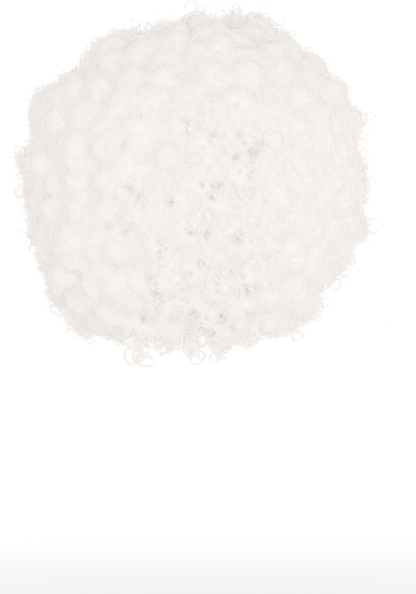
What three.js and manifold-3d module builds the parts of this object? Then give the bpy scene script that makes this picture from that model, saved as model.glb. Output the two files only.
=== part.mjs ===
// Round afro wig of tight white synthetic curls, adult size, in the form that it has when worn.
//
// Frame: millimetres, +Z up. The wearer faces -Y, and the wearer's left is +X.
// Origin: the middle of the head hollow, level with the widest part of the head.
//
// Pieces: a thin stretch cap, open below and in front; the one continuous mass of curls that is
// sewn all over it, a thick hollow shell with a rounded rim round the opening; and five locks
// that hang from the rim at the nape, below the rest.
//
// Every piece starts as a closed unit sphere. A point of that sphere has a polar angle psi from
// the crown and a bearing alpha round it, 0 towards the forehead and 180 towards the nape, and a
// profile says where that point goes: down the outside, round the rim, and back up the inside.

import * as THREE from "three";
import { mergeVertices } from "three/addons/utils/BufferGeometryUtils.js";
import Module from "manifold-3d";

// ---------- driving sizes ----------
const HEAD = { halfWidth: 76, halfLength: 95, crown: 105, nape: 130 }; // semi-axes of the hollow
const RIM_TILT = 39; // degrees that the opening's axis leans, so it faces down and forwards
const CAP_WALL = 2; // stretch cap
const CAP_CLEAR = 1.2; // between cap and curls
const RIM_ROUND = 1.0; // how far the cap's rounded edge runs past its wall
const SQUARENESS = 2.15; // exponent of each level section, 2 is an ellipse
const LOCK_CLEAR = 0.6; // between a nape lock and the curls it hangs from

// Level sections of the mass of curls: height, then half-widths to the wearer's left and right,
// to the back and to the front.
const SECTIONS = [
  { z: 172, left: 0, right: 0, back: 0, front: 0 },
  { z: 165, left: 28, right: 46, back: 34, front: 30 },
  { z: 156, left: 54, right: 66, back: 58, front: 52 },
  { z: 148, left: 73, right: 80, back: 78, front: 72 },
  { z: 135, left: 93, right: 105, back: 98, front: 92 },
  { z: 118, left: 110, right: 121, back: 118, front: 110 },
  { z: 96, left: 132, right: 135, back: 136, front: 124 },
  { z: 70, left: 140, right: 143, back: 150, front: 134 },
  { z: 40, left: 145, right: 148, back: 158, front: 140 },
  { z: 10, left: 144, right: 147, back: 159, front: 136 },
  { z: -20, left: 140, right: 143, back: 154, front: 126 },
  { z: -41, left: 133, right: 134, back: 146, front: 116 },
  { z: -63, left: 125, right: 119, back: 134, front: 104 },
  { z: -84, left: 113, right: 106, back: 118, front: 92 },
  { z: -101, left: 94, right: 90, back: 98, front: 80 },
  { z: -112, left: 72, right: 62, back: 80, front: 66 },
  { z: -126, left: 0, right: 0, back: 0, front: 0 },
];

// The opening's edge by bearing: polar angle where the cap ends, polar angle where the outside of
// the curls ends, and how far the rounded rim carries on past each of them.
const EDGE = [
  { alpha: 0, cap: 104, hair: 112, capRun: 18, hairRun: 20 },
  { alpha: 30, cap: 106, hair: 113, capRun: 18, hairRun: 20 },
  { alpha: 60, cap: 110, hair: 116, capRun: 20, hairRun: 22 },
  { alpha: 80, cap: 110, hair: 119, capRun: 30, hairRun: 24 },
  { alpha: 100, cap: 104, hair: 123, capRun: 46, hairRun: 22 },
  { alpha: 120, cap: 102, hair: 126, capRun: 46, hairRun: 20 },
  { alpha: 140, cap: 105, hair: 119, capRun: 30, hairRun: 18 },
  { alpha: 160, cap: 107, hair: 108, capRun: 16, hairRun: 18 },
  { alpha: 180, cap: 106.5, hair: 103, capRun: 12, hairRun: 18 },
];

// The outline's own tufts and dents, seen from behind: clock angle from the top towards the
// wearer's right, how far each stands out (or in, if negative), and its angular spread.
const TUFTS = [
  { clock: 15, out: 7, spread: 6 },
  { clock: 33, out: 3, spread: 6 },
  { clock: 45, out: -3, spread: 4 },
  { clock: 51, out: 4, spread: 5 },
  { clock: 62, out: 4, spread: 5 },
  { clock: 73, out: -3, spread: 4 },
  { clock: 81, out: 4, spread: 4 },
  { clock: 92, out: 6, spread: 5 },
  { clock: 102, out: 4, spread: 5 },
  { clock: 125, out: -3, spread: 6 },
  { clock: 228, out: 4, spread: 6 },
  { clock: 241, out: 4, spread: 5 },
  { clock: 255, out: -4, spread: 5 },
  { clock: 284, out: 3, spread: 6 },
  { clock: 305, out: 8, spread: 6 },
  { clock: 322, out: -4, spread: 6 },
  { clock: 334, out: 4, spread: 6 },
  { clock: 353, out: -4, spread: 6 },
];

// Clumps of curls all over the mass: domes with creases between them, on a spiral that spaces them
// evenly. Low and high bound the domes' heights, crease is the height that no crease goes below,
// reach the radius of a dome on the unit sphere, and level the height of the plain outline.
const LUMPS = { count: 210, low: 7, high: 12, crease: 4, reach: 0.165, level: 8.4 };

// Where the unit sphere's outside, rim and inside begin, as polar angles.
const HAIR_MAP = { outside: 112, rim: 140, detail: 16 };
const CAP_MAP = { columns: 36, rows: 20 };

// Locks that hang at the nape: middle across, how far back, top and tip heights, half-width and
// half-depth, and how far the tip swings across.
const LOCKS = [
  { name: "nape_lock_left", x: 42, y: 80, top: -90, tip: -132, halfWidth: 13, halfDepth: 10, swing: 2 },
  { name: "nape_lock_mid_left", x: 20, y: 80, top: -94, tip: -123, halfWidth: 9, halfDepth: 9, swing: 1 },
  { name: "nape_lock_centre", x: 0, y: 80, top: -90, tip: -132, halfWidth: 11, halfDepth: 10.5, swing: -2 },
  { name: "nape_lock_mid_right", x: -22, y: 80, top: -90, tip: -129.5, halfWidth: 10.5, halfDepth: 10, swing: -3 },
  { name: "nape_lock_right", x: -45, y: 80, top: -92, tip: -119.5, halfWidth: 11, halfDepth: 9, swing: 1 },
];

// ---------- materials ----------
const curlFibre = new THREE.MeshStandardMaterial({ color: 0xf1ece8, roughness: 0.62, metalness: 0 });
const capNet = new THREE.MeshStandardMaterial({ color: 0xe9e2d8, roughness: 0.85, metalness: 0 });

// ---------- directions ----------
const rad = THREE.MathUtils.degToRad;
const CROWNWARD = new THREE.Vector3(0, Math.sin(rad(RIM_TILT)), Math.cos(rad(RIM_TILT)));
const FORWARD = new THREE.Vector3(0, -Math.cos(rad(RIM_TILT)), Math.sin(rad(RIM_TILT)));
const SIDE = new THREE.Vector3(1, 0, 0);

// The direction from the origin at polar angle theta and bearing alpha, in radians.
function direction(theta, alpha) {
  return new THREE.Vector3()
    .addScaledVector(CROWNWARD, Math.cos(theta))
    .addScaledVector(FORWARD, Math.sin(theta) * Math.cos(alpha))
    .addScaledVector(SIDE, Math.sin(theta) * Math.sin(alpha));
}

// The direction in which theta grows there: away from the crown, towards the opening.
function downward(theta, alpha) {
  return new THREE.Vector3()
    .addScaledVector(CROWNWARD, -Math.sin(theta))
    .addScaledVector(FORWARD, Math.cos(theta) * Math.cos(alpha))
    .addScaledVector(SIDE, Math.cos(theta) * Math.sin(alpha));
}

// A table's column between its rows, eased so that it has no corners.
function lookUp(table, key, column, at, ease) {
  let i = 0;
  while (i < table.length - 2 && at > table[i + 1][key]) i++;
  const a = table[i], b = table[i + 1];
  let t = THREE.MathUtils.clamp((at - a[key]) / (b[key] - a[key]), 0, 1);
  if (ease) t = t * t * (3 - 2 * t);
  return a[column] + (b[column] - a[column]) * t;
}

const edge = (column, alpha) => lookUp(EDGE, "alpha", column, Math.abs(THREE.MathUtils.radToDeg(alpha)), true);

// ---------- the head hollow ----------
function headRadius(d) {
  const up = d.z > 0 ? HEAD.crown : HEAD.nape;
  return 1 / Math.hypot(d.x / HEAD.halfWidth, d.y / HEAD.halfLength, d.z / up);
}

// ---------- the outside of the curls ----------
const RISING = [...SECTIONS].reverse().map((s) => ({
  z: s.z, left: s.left ** 2, right: s.right ** 2, back: s.back ** 2, front: s.front ** 2,
}));

function insideCurls(x, y, z) {
  if (z <= RISING[0].z || z >= RISING[RISING.length - 1].z) return false;
  const wx = lookUp(RISING, "z", x > 0 ? "left" : "right", z, false);
  const wy = lookUp(RISING, "z", y > 0 ? "back" : "front", z, false);
  return ((x * x) / wx) ** (SQUARENESS / 2) + ((y * y) / wy) ** (SQUARENESS / 2) < 1;
}

const tuftDirections = TUFTS.map((t) => new THREE.Vector3(-Math.sin(rad(t.clock)), 0, Math.cos(rad(t.clock))));

function outerRadius(d) {
  let low = 40, high = 230;
  for (let i = 0; i < 30; i++) {
    const middle = (low + high) / 2;
    if (insideCurls(d.x * middle, d.y * middle, d.z * middle)) low = middle;
    else high = middle;
  }
  let r = (low + high) / 2;
  TUFTS.forEach((t, i) => {
    r += t.out * Math.exp(-d.distanceToSquared(tuftDirections[i]) / (2 * rad(t.spread) ** 2));
  });
  return r;
}

// ---------- profiles: unit-sphere point to place ----------
function hairPoint(psi, alpha) {
  const capEnd = rad(edge("cap", alpha)), hairEnd = rad(edge("hair", alpha));
  const outside = rad(HAIR_MAP.outside), rim = rad(HAIR_MAP.rim);
  const inner = (theta) => {
    const d = direction(theta, alpha);
    return d.multiplyScalar(headRadius(d) + CAP_WALL + CAP_CLEAR);
  };
  const outer = (theta) => {
    const d = direction(theta, alpha);
    return d.multiplyScalar(outerRadius(d));
  };
  if (psi <= outside) return outer((hairEnd * psi) / outside);
  if (psi >= rim) return inner((capEnd * (Math.PI - psi)) / (Math.PI - rim));
  const from = outer(hairEnd), to = inner(capEnd);
  return new THREE.CubicBezierCurve3(
    from,
    from.clone().addScaledVector(downward(hairEnd, alpha), edge("hairRun", alpha)),
    to.clone().addScaledVector(downward(capEnd, alpha), edge("capRun", alpha)),
    to,
  ).getPoint((psi - outside) / (rim - outside));
}

function capPoint(psi, alpha) {
  const capEnd = rad(edge("cap", alpha));
  const step = Math.PI / CAP_MAP.rows;
  const side = Math.PI / 2 - step; // the wall's polar angle on the unit sphere, outside or inside
  const outside = psi < Math.PI / 2;
  const along = Math.min(1, (outside ? psi : Math.PI - psi) / side);
  const d = direction(capEnd * along, alpha);
  const atEdge = Math.abs(psi - Math.PI / 2) < step / 2;
  const radius = headRadius(d) + (atEdge ? CAP_WALL / 2 : outside ? CAP_WALL : 0);
  const p = d.clone().multiplyScalar(radius);
  if (atEdge) p.addScaledVector(downward(capEnd, alpha), RIM_ROUND);
  return p;
}

// ---------- from a unit sphere to a piece ----------
function closedSphere(geometry) {
  geometry.deleteAttribute("normal");
  geometry.deleteAttribute("uv");
  return mergeVertices(geometry, 1e-5);
}

function mould(sphere, profile) {
  const g = sphere.clone(), p = g.attributes.position;
  for (let i = 0; i < p.count; i++) {
    // The sphere's own +Y pole is the crown.
    const psi = Math.acos(THREE.MathUtils.clamp(p.getY(i), -1, 1));
    const alpha = Math.atan2(p.getX(i), p.getZ(i));
    const at = profile(psi, alpha);
    p.setXYZ(i, at.x, at.y, at.z);
  }
  g.computeVertexNormals();
  return g;
}

// Moves each vertex along its normal by amount(unit sphere point).
function swell(g, sphere, amount) {
  const out = g.clone(), p = out.attributes.position, n = g.attributes.normal, u = sphere.attributes.position;
  for (let i = 0; i < p.count; i++) {
    const by = amount(new THREE.Vector3().fromBufferAttribute(u, i));
    p.setXYZ(i, p.getX(i) + n.getX(i) * by, p.getY(i) + n.getY(i) * by, p.getZ(i) + n.getZ(i) * by);
  }
  out.computeVertexNormals();
  return out;
}

const lumps = Array.from({ length: LUMPS.count }, (_, i) => {
  const y = 1 - (2 * i + 1) / LUMPS.count, turn = i * Math.PI * (3 - Math.sqrt(5));
  const ring = Math.sqrt(1 - y * y), share = (Math.sin(i * 12.9898) * 43758.5453) % 1;
  return {
    at: new THREE.Vector3(ring * Math.cos(turn), y, ring * Math.sin(turn)),
    height: LUMPS.low + (LUMPS.high - LUMPS.low) * Math.abs(share),
  };
});

function lumpiness(u) {
  let dome = LUMPS.crease;
  for (const l of lumps) {
    const share = 1 - u.distanceToSquared(l.at) / LUMPS.reach ** 2;
    if (share > 0) dome = Math.max(dome, l.height * Math.sqrt(share));
  }
  // The lumps fade out towards the inside, which lies smoothly on the cap.
  const psi = THREE.MathUtils.radToDeg(Math.acos(THREE.MathUtils.clamp(u.y, -1, 1)));
  const last = HAIR_MAP.rim - 6, first = HAIR_MAP.outside - 6;
  return (dome - LUMPS.level) * (1 - THREE.MathUtils.smoothstep(psi, first, last));
}

// ---------- the curls ----------
const hairSphere = closedSphere(new THREE.IcosahedronGeometry(1, HAIR_MAP.detail));
const hair = swell(mould(hairSphere, hairPoint), hairSphere, lumpiness);

// ---------- the cap ----------
const capSphere = closedSphere(new THREE.SphereGeometry(1, CAP_MAP.columns, CAP_MAP.rows));
const cap = mould(capSphere, capPoint);

// ---------- the nape locks ----------
const wasm = await Module();
wasm.setup();

function solid(g) {
  return new wasm.Manifold(
    new wasm.Mesh({
      numProp: 3,
      vertProperties: new Float32Array(g.attributes.position.array),
      triVerts: new Uint32Array(g.index.array),
    }),
  );
}

function geometryOf(s) {
  const m = s.getMesh();
  const g = new THREE.BufferGeometry();
  g.setAttribute("position", new THREE.BufferAttribute(new Float32Array(m.vertProperties), 3));
  g.setIndex(new THREE.BufferAttribute(new Uint32Array(m.triVerts), 1));
  g.computeVertexNormals();
  return g;
}

const curlsAndClearance = solid(swell(hair, hairSphere, () => LOCK_CLEAR));

function lockGeometry(lock) {
  const sphere = closedSphere(new THREE.SphereGeometry(1, 12, 10));
  const p = sphere.attributes.position;
  for (let i = 0; i < p.count; i++) {
    const down = (1 - p.getY(i)) / 2; // 0 at the root, 1 at the tip
    const full = 1 - 0.45 * down ** 2; // a blunt taper towards the tip
    p.setXYZ(
      i,
      lock.x + lock.halfWidth * full * p.getX(i) + lock.swing * down ** 2,
      lock.y - lock.halfDepth * full * p.getZ(i),
      lock.top + (lock.tip - lock.top) * down,
    );
  }
  const whole = solid(sphere).subtract(curlsAndClearance);
  const below = whole.decompose().sort((a, b) => b.volume() - a.volume())[0];
  return geometryOf(below);
}

// ---------- the assembly ----------
const wig = new THREE.Group();
function add(name, geometry, material) {
  const mesh = new THREE.Mesh(geometry, material);
  mesh.name = name;
  wig.add(mesh);
}
add("wig_cap", cap, capNet);
add("curl_mass", hair, curlFibre);
for (const lock of LOCKS) add(lock.name, lockGeometry(lock), curlFibre);

export default wig;
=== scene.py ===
"""A round white afro wig, seen from behind as it is worn. Metres, +Z up, the wearer faces -Y."""

import math

import bpy
import numpy as np
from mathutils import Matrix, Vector
from mathutils.kdtree import KDTree


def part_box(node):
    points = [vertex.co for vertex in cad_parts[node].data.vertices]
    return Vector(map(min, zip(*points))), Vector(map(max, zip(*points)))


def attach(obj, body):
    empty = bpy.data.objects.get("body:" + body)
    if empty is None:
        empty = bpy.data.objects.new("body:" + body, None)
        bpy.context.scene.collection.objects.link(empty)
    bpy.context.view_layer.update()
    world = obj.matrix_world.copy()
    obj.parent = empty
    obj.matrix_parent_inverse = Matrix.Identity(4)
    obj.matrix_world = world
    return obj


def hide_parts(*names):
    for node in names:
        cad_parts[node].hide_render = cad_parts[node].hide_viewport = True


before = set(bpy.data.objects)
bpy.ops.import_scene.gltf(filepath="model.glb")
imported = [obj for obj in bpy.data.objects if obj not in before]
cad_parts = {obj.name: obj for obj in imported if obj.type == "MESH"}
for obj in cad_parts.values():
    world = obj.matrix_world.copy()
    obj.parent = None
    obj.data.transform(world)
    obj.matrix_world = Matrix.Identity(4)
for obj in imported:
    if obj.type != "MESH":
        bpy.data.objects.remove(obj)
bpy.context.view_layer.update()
rng = np.random.default_rng(20261)

# ---------------------------------------------------------------- camera, lights and floor
# The picture is 416 by 594 and one pixel of it is 0.86 mm at the wig.
MM_PER_PX = 0.86
CAMERA_AT = 2.6
scene = bpy.context.scene
scene.view_settings.view_transform = "AgX"
scene.view_settings.look = "None"
scene.cycles.diffuse_bounces = 10  # white fibre passes light on many times

cam = bpy.data.objects.new("camera", bpy.data.cameras.new("camera"))
scene.collection.objects.link(cam)
scene.camera = cam
cam.data.sensor_width = 36
cam.data.lens = 36 * CAMERA_AT / (594 * MM_PER_PX / 1000)
cam.data.clip_start, cam.data.clip_end = 0.05, 60
cam.location = (
    -(208 - 191.5) * MM_PER_PX / 1000,
    CAMERA_AT,
    (172 - MM_PER_PX * (297 - 12)) / 1000,
)
cam.rotation_euler = (math.radians(90), 0, math.radians(180))

# An even white studio: the backdrop that the camera sees burns out to white, and a softer light
# of the same colour comes from all round.
LIGHT, BACKDROP = 12.4, 30.0
WARM = (1.0, 0.79, 0.63)


def seen_by_camera(nt, surface, others, at=(0, 0)):
    """A mix that shows the camera one shader and everything else the other."""
    path = nt.nodes.new("ShaderNodeLightPath")
    mix = nt.nodes.new("ShaderNodeMixShader")
    mix.location = at
    nt.links.new(path.outputs["Is Camera Ray"], mix.inputs[0])
    nt.links.new(others.outputs[0], mix.inputs[1])
    nt.links.new(surface.outputs[0], mix.inputs[2])
    return mix


world = bpy.data.worlds.new("studio")
scene.world = world
world.use_nodes = True
wn = world.node_tree
soft = wn.nodes["Background"]
soft.inputs["Color"].default_value = (*WARM, 1)
from_where = wn.nodes.new("ShaderNodeTexCoord")
split = wn.nodes.new("ShaderNodeSeparateXYZ")
less_above = wn.nodes.new("ShaderNodeMapRange")
less_above.inputs["From Min"].default_value, less_above.inputs["From Max"].default_value = -0.1, 1.0
less_above.inputs["To Min"].default_value = LIGHT * 1.1
less_above.inputs["To Max"].default_value = LIGHT * 0.1
wn.links.new(from_where.outputs["Generated"], split.inputs[0])
wn.links.new(split.outputs["Z"], less_above.inputs["Value"])
wn.links.new(less_above.outputs["Result"], soft.inputs["Strength"])
back = wn.nodes.new("ShaderNodeBackground")
back.inputs["Color"].default_value = (1, 1, 1, 1)
back.inputs["Strength"].default_value = BACKDROP
wn.links.new(
    seen_by_camera(wn, back, soft).outputs[0], wn.nodes["World Output"].inputs["Surface"]
)


def area_light(name, at, aim, size, watts):
    data = bpy.data.lights.new(name, "AREA")
    data.shape, data.size, data.energy = "DISK", size, watts
    data.color = WARM
    lamp = bpy.data.objects.new(name, data)
    scene.collection.objects.link(lamp)
    lamp.location = at
    lamp.rotation_euler = (Vector(aim) - Vector(at)).to_track_quat("-Z", "Y").to_euler()
    return lamp


area_light("key", (-0.5, 2.6, -0.2), (0, 0, -0.05), 1.2, 860.0)
area_light("front_fill", (0.6, -2.6, 0.7), (0, 0, 0), 1.6, 400.0)


def new_object(name, verts, loops, starts, totals, uv=None, smooth=True):
    """A mesh from flat arrays: vertices (n, 3), face corner indices, face starts and sizes."""
    me = bpy.data.meshes.new(name)
    me.vertices.add(len(verts))
    me.vertices.foreach_set("co", np.asarray(verts, np.float32).ravel())
    me.loops.add(len(loops))
    me.loops.foreach_set("vertex_index", np.asarray(loops, np.int32))
    me.polygons.add(len(starts))
    me.polygons.foreach_set("loop_start", np.asarray(starts, np.int32))
    me.polygons.foreach_set("loop_total", np.asarray(totals, np.int32))
    if smooth:
        me.polygons.foreach_set("use_smooth", np.ones(len(starts), bool))
    if uv is not None:
        me.uv_layers.new(name="strand").data.foreach_set("uv", np.asarray(uv, np.float32).ravel())
    me.update(calc_edges=True)
    me.validate()
    o = bpy.data.objects.new(name, me)
    scene.collection.objects.link(o)
    return o


# ---------------------------------------------------------------- the form, as the CAD has it
TILT = math.radians(39)
AX = np.array([0.0, math.sin(TILT), math.cos(TILT)])  # towards the crown
FW = np.array([0.0, -math.cos(TILT), math.sin(TILT)])  # towards the forehead
SD = np.array([1.0, 0.0, 0.0])  # to the wearer's left
HEAD = dict(half_width=76.0, half_length=95.0, crown=105.0, nape=130.0)
CAP_OUT = 3.2  # cap wall and its clearance
SQUARENESS = 2.15

# height, half-widths to the wearer's left and right, to the back and to the front, in mm
SECTIONS = np.array(
    [
        (172, 0, 0, 0, 0),
        (165, 28, 46, 34, 30),
        (156, 54, 66, 58, 52),
        (148, 73, 80, 78, 72),
        (135, 93, 105, 98, 92),
        (118, 110, 121, 118, 110),
        (96, 132, 135, 136, 124),
        (70, 140, 143, 150, 134),
        (40, 145, 148, 158, 140),
        (10, 144, 147, 159, 136),
        (-20, 140, 143, 154, 126),
        (-41, 133, 134, 146, 116),
        (-63, 125, 119, 134, 104),
        (-84, 113, 106, 118, 92),
        (-101, 94, 90, 98, 80),
        (-112, 72, 62, 80, 66),
        (-126, 0, 0, 0, 0),
    ],
    float,
)[::-1]
# bearing, where the cap ends, where the outside ends, run past the cap, run past the outside
EDGE = np.array(
    [
        (0, 104, 112, 18, 20),
        (30, 106, 113, 18, 20),
        (60, 110, 116, 20, 22),
        (80, 110, 119, 30, 24),
        (100, 104, 123, 46, 22),
        (120, 102, 126, 46, 20),
        (140, 105, 119, 30, 18),
        (160, 107, 108, 16, 18),
        (180, 106.5, 103, 12, 18),
    ],
    float,
)
# clock angle seen from behind, how far out, angular spread
TUFTS = np.array(
    [
        (15, 7, 6),
        (33, 3, 6),
        (45, -3, 4),
        (51, 4, 5),
        (62, 4, 5),
        (73, -3, 4),
        (81, 4, 4),
        (92, 6, 5),
        (102, 4, 5),
        (125, -3, 6),
        (228, 4, 6),
        (241, 4, 5),
        (255, -4, 5),
        (284, 3, 6),
        (305, 8, 6),
        (322, -4, 6),
        (334, 4, 6),
        (353, -4, 6),
        # small corrections of the strands' outline
        (14, -4.5, 5),
        (24, 7, 4),
        (48, -4, 4),
        (60, 4, 4),
        (150, 4, 4),
        (288, 5, 4),
        (321, -5, 6),
        (342, -6, 4),
    ],
    float,
)
OUTSIDE, RIM = math.radians(112), math.radians(140)


def edge(column, alpha):
    a = np.abs(np.degrees(alpha))
    i = np.clip(np.searchsorted(EDGE[:, 0], a, side="right") - 1, 0, len(EDGE) - 2)
    t = np.clip((a - EDGE[i, 0]) / (EDGE[i + 1, 0] - EDGE[i, 0]), 0, 1)
    t = t * t * (3 - 2 * t)
    return EDGE[i, column] * (1 - t) + EDGE[i + 1, column] * t


def direction(theta, alpha):
    c, s = np.cos(theta)[:, None], np.sin(theta)[:, None]
    return AX * c + (FW * np.cos(alpha)[:, None] + SD * np.sin(alpha)[:, None]) * s


def downward(theta, alpha):
    c, s = np.cos(theta)[:, None], np.sin(theta)[:, None]
    return -AX * s + (FW * np.cos(alpha)[:, None] + SD * np.sin(alpha)[:, None]) * c


def head_radius(d):
    up = np.where(d[:, 2] > 0, HEAD["crown"], HEAD["nape"])
    return 1 / np.sqrt(
        (d[:, 0] / HEAD["half_width"]) ** 2 + (d[:, 1] / HEAD["half_length"]) ** 2 + (d[:, 2] / up) ** 2
    )


def inside_curls(p):
    z = p[:, 2]
    zs = SECTIONS[:, 0]

    def width2(column):
        return np.interp(z, zs, SECTIONS[:, column] ** 2, left=0, right=0)

    wx = np.where(p[:, 0] > 0, width2(1), width2(2)) + 1e-9
    wy = np.where(p[:, 1] > 0, width2(3), width2(4)) + 1e-9
    k = SQUARENESS / 2
    return (p[:, 0] ** 2 / wx) ** k + (p[:, 1] ** 2 / wy) ** k < 1


TUFT_AT = np.stack(
    [-np.sin(np.radians(TUFTS[:, 0])), 0 * TUFTS[:, 0], np.cos(np.radians(TUFTS[:, 0]))], 1
)


def outer_radius(d):
    low, high = np.full(len(d), 40.0), np.full(len(d), 230.0)
    for _ in range(26):
        mid = (low + high) / 2
        inside = inside_curls(d * mid[:, None])
        low, high = np.where(inside, mid, low), np.where(inside, high, mid)
    r = (low + high) / 2
    for at, (_, out, spread) in zip(TUFT_AT, TUFTS):
        d2 = ((d - at) ** 2).sum(1)
        r = r + out * np.exp(-d2 / (2 * math.radians(spread) ** 2))
    return r


def envelope(u):
    """Unit sphere points (n, 3), +Y the crown, to places on the plain envelope, in mm."""
    psi = np.arccos(np.clip(u[:, 1], -1, 1))
    alpha = np.arctan2(u[:, 0], u[:, 2])
    cap_end, hair_end = np.radians(edge(1, alpha)), np.radians(edge(2, alpha))

    def outer(theta):
        d = direction(theta, alpha)
        return d * outer_radius(d)[:, None]

    def inner(theta):
        d = direction(theta, alpha)
        return d * (head_radius(d) + CAP_OUT)[:, None]

    out = np.zeros_like(u)
    a, c = psi <= OUTSIDE, psi >= RIM
    b = ~a & ~c
    full_out = outer(np.where(a, hair_end * psi / OUTSIDE, hair_end))
    full_in = inner(np.where(c, cap_end * (math.pi - psi) / (math.pi - RIM), cap_end))
    out[a], out[c] = full_out[a], full_in[c]
    t = ((psi - OUTSIDE) / (RIM - OUTSIDE))[:, None]
    p0, p3 = full_out, full_in
    p1 = p0 + downward(hair_end, alpha) * edge(4, alpha)[:, None]
    p2 = p3 + downward(cap_end, alpha) * edge(3, alpha)[:, None]
    bez = (1 - t) ** 3 * p0 + 3 * (1 - t) ** 2 * t * p1 + 3 * (1 - t) * t * t * p2 + t**3 * p3
    out[b] = bez[b]
    return out


# the clumps of curls, as in the CAD
LUMPS = dict(count=210, low=7.0, high=12.0, crease=4.0, reach=0.165, level=8.4)
_i = np.arange(LUMPS["count"])
_y = 1 - (2 * _i + 1) / LUMPS["count"]
_turn, _ring = _i * math.pi * (3 - math.sqrt(5)), np.sqrt(1 - _y**2)
LUMP_AT = np.stack([_ring * np.cos(_turn), _y, _ring * np.sin(_turn)], 1)
_share = np.fmod(np.sin(_i * 12.9898) * 43758.5453, 1)
LUMP_HIGH = LUMPS["low"] + (LUMPS["high"] - LUMPS["low"]) * np.abs(_share)


def lumpiness(u):
    dome = np.full(len(u), LUMPS["crease"])
    for at, high in zip(LUMP_AT, LUMP_HIGH):
        share = 1 - ((u - at) ** 2).sum(1) / LUMPS["reach"] ** 2
        dome = np.maximum(dome, high * np.sqrt(np.clip(share, 0, None)))
    psi = np.degrees(np.arccos(np.clip(u[:, 1], -1, 1)))
    t = np.clip((psi - 106) / (134 - 106), 0, 1)
    return (dome - LUMPS["level"]) * (1 - t * t * (3 - 2 * t))


# ---------------------------------------------------------------- a fine sphere to mould
def cube_sphere(n):
    """A unit sphere of six square grids of n by n faces, its shared points merged."""
    t = np.tan(np.linspace(-math.pi / 4, math.pi / 4, n + 1))
    a, b = np.meshgrid(t, t, indexing="ij")
    one = np.ones_like(a)
    sides = [(one, a, b), (-one, b, a), (b, one, a), (a, -one, b), (a, b, one), (b, a, -one)]
    v = np.concatenate([np.stack(x, -1).reshape(-1, 3) for x in sides])
    v /= np.linalg.norm(v, axis=1)[:, None]
    i, j = np.meshgrid(np.arange(n), np.arange(n), indexing="ij")
    at = (i * (n + 1) + j).ravel()
    quad = np.stack([at, at + n + 1, at + n + 2, at + 1], 1)
    f = np.concatenate([quad + k * (n + 1) ** 2 for k in range(6)])
    _, first, where = np.unique(np.round(v * 1e5).astype(int), axis=0, return_index=True, return_inverse=True)
    return v[first], where.reshape(-1)[f]


def vertex_normals(v, f):
    n = np.zeros_like(v)
    fn = np.cross(v[f[:, 2]] - v[f[:, 0]], v[f[:, 3]] - v[f[:, 1]])
    for k in range(4):
        np.add.at(n, f[:, k], fn)
    return n / np.maximum(np.linalg.norm(n, axis=1), 1e-12)[:, None]


unit, faces = cube_sphere(84)
plain = envelope(unit)
normal = vertex_normals(plain, faces)
psi_deg = np.degrees(np.arccos(np.clip(unit[:, 1], -1, 1)))
lump = lumpiness(unit)
skin = plain + normal * lump[:, None]  # the envelope with its clumps
skin_n = vertex_normals(skin, faces)


def smooth_step(x, a, b):
    t = np.clip((x - a) / (b - a), 0, 1)
    return t * t * (3 - 2 * t)


# ---------------------------------------------------------------- materials
def node(nt, kind, at=(0, 0), **inputs):
    n = nt.nodes.new(kind)
    n.location = at
    for k, v in inputs.items():
        n.inputs[k.replace("_", " ")].default_value = v
    return n


def principled(name, rough, sheen=0.35, glow=0.0):
    m = bpy.data.materials.new(name)
    m.use_nodes = True
    b = m.node_tree.nodes["Principled BSDF"]
    b.inputs["Roughness"].default_value = rough
    b.inputs["Specular IOR Level"].default_value = 0.2
    b.inputs["Sheen Weight"].default_value = sheen
    b.inputs["Sheen Roughness"].default_value = 0.5
    if glow:
        b.inputs["Subsurface Weight"].default_value = glow
        b.inputs["Subsurface Radius"].default_value = (1.0, 0.9, 0.8)
        b.inputs["Subsurface Scale"].default_value = 0.004
    return m, m.node_tree, b


def ramp_of(nt, low, high, start, end, at):
    r = node(nt, "ShaderNodeValToRGB", at)
    r.color_ramp.elements[0].position, r.color_ramp.elements[1].position = start, end
    r.color_ramp.elements[0].color, r.color_ramp.elements[1].color = (*low, 1), (*high, 1)
    return r


# Strands: each has its own lengthwise run, so that fine fibres lie along it.
fibre, nt, b = principled("curl_fibre", 0.55, glow=0.48)
uvm = node(nt, "ShaderNodeUVMap", (-1300, 0))
uvm.uv_map = "strand"
stretch = node(nt, "ShaderNodeMapping", (-1100, 0))
stretch.inputs["Scale"].default_value = (0.6, 9.0, 1.0)
streak = node(nt, "ShaderNodeTexNoise", (-850, -150), Scale=1.0, Detail=3.0, Roughness=0.6)
tone = node(nt, "ShaderNodeTexNoise", (-850, 150), Scale=22.0, Detail=3.0, Roughness=0.6)
co = node(nt, "ShaderNodeTexCoord", (-1100, 250))
nt.links.new(uvm.outputs["UV"], stretch.inputs["Vector"])
nt.links.new(stretch.outputs["Vector"], streak.inputs["Vector"])
nt.links.new(co.outputs["Object"], tone.inputs["Vector"])
both = node(nt, "ShaderNodeMath", (-620, 100))
both.operation = "ADD"
nt.links.new(tone.outputs["Fac"], both.inputs[0])
nt.links.new(streak.outputs["Fac"], both.inputs[1])
ramp = ramp_of(nt, (0.90, 0.88, 0.86), (0.955, 0.945, 0.935), 0.75, 1.25, (-450, 150))
nt.links.new(both.outputs[0], ramp.inputs["Fac"])
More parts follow.
